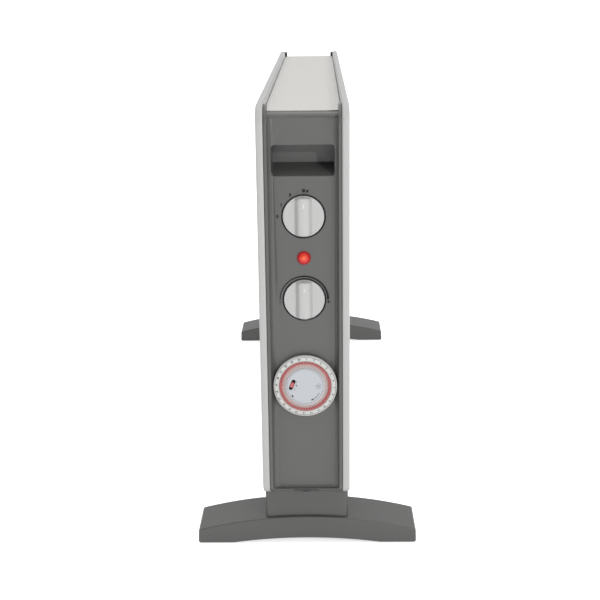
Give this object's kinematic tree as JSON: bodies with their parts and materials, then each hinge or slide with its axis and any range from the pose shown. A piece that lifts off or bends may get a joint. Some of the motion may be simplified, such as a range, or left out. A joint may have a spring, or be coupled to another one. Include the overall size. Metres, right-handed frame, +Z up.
{
  "type": "oil filled radiator heater",
  "caption": "Slim closed oil-filled panel radiator on two arched feet, with knobs, pilot lamp, daily timer and finger recess on its control end.",
  "frame": {"origin": "centre of the bounding box on the floor", "axes": "+Z up, -Y towards the control end, +Y along the body's length, X across its thickness"},
  "size_m": [0.243, 0.82, 0.488],
  "materials": {
    "panel_paint": "satin",
    "cover_paint": "satin",
    "zinc_steel": "zinc plated",
    "header_steel": "black oxide",
    "sheath_steel": "satin",
    "brass": "machined",
    "gasket": "matt",
    "cap_plastic": "fine grain",
    "foot_plastic": "fine grain",
    "shield_aluminium": "mill",
    "inner_plastic": "moulded",
    "knob_plastic": "semi gloss",
    "spring_steel": "satin",
    "fastener_steel": "zinc plated",
    "lamp_red": "translucent",
    "neon_glass": "clear",
    "timer_black": "moulded",
    "timer_white": "semi gloss",
    "timer_red": "moulded",
    "timer_blue_grey": "semi gloss",
    "wire_sheath": "glass braid",
    "rubber": "matt"
  },
  "bodies": {
    "heater": {"left_panel_skin": "panel_paint", "right_panel_skin": "panel_paint", "left_panel_back": "zinc_steel", "right_panel_back": "zinc_steel", "bottom_header": "header_steel", "top_crossovers": "header_steel", "heating_element": "sheath_steel", "element_plug": "brass", "element_gasket": "gasket", "fill_plug": "brass", "fill_plug_washer": "brass", "top_cover": "cover_paint", "bottom_pan": "zinc_steel", "near_end_frame": "zinc_steel", "far_end_frame": "zinc_steel", "control_end_cap": "cap_plastic", "far_end_cap": "cap_plastic", "heat_shield": "shield_aluminium", "selector_switch": "inner_plastic", "switch_screws": "fastener_steel", "thermostat_body": "inner_plastic", "thermostat_bimetal": "brass", "lamp_lens": "lamp_red", "neon_lamp": "neon_glass", "timer_housing": "timer_black", "timer_plate": "inner_plastic", "timer_motor": "sheath_steel", "timer_face": "timer_blue_grey", "thermal_cutout": "timer_black", "terminal_block": "inner_plastic", "wiring_harness": "wire_sheath", "cord_bushing": "rubber", "near_foot": "foot_plastic", "far_foot": "foot_plastic", "foot_pads": "rubber", "foot_screws": "fastener_steel", "foot_nuts": "fastener_steel", "cap_screws": "fastener_steel"},
    "selector": {"selector_spindle": "sheath_steel", "selector_knob": "knob_plastic", "selector_knob_spring": "spring_steel"},
    "thermostat": {"thermostat_spindle": "sheath_steel", "thermostat_knob": "knob_plastic", "thermostat_knob_spring": "spring_steel"},
    "timer_ring": {"timer_dial": "timer_white", "timer_tappets": "timer_red"},
    "pinion": {"timer_pinion": "inner_plastic"},
    "override": {"timer_slider": "timer_red"}
  },
  "joints": [
    {"name": "selector_turn", "type": "hinge", "parent": "heater", "child": "selector", "pos_m": [0, -0.41, 0.3745], "axis": [0, -1, 0], "range_deg": [0, 90]},
    {"name": "thermostat_turn", "type": "hinge", "parent": "heater", "child": "thermostat", "pos_m": [0, -0.41, 0.2865], "axis": [0, -1, 0], "range_deg": [-90, 90]},
    {"name": "dial_turn", "type": "hinge", "parent": "heater", "child": "timer_ring", "pos_m": [0, -0.41, 0.193], "axis": [0, -1, 0], "continuous": true},
    {"name": "pinion_turn", "type": "hinge", "parent": "heater", "child": "pinion", "pos_m": [0.0192, -0.41, 0.193], "axis": [0, -1, 0], "continuous": true},
    {"name": "override_slide", "type": "slide", "parent": "heater", "child": "override", "axis": [0.3746, 0, 0.9272], "range_m": [-0.002, 0.002]}
  ],
  "couplings": [
    {"joint": "pinion_turn", "follows": "dial_turn", "ratio": 5}
  ]
}
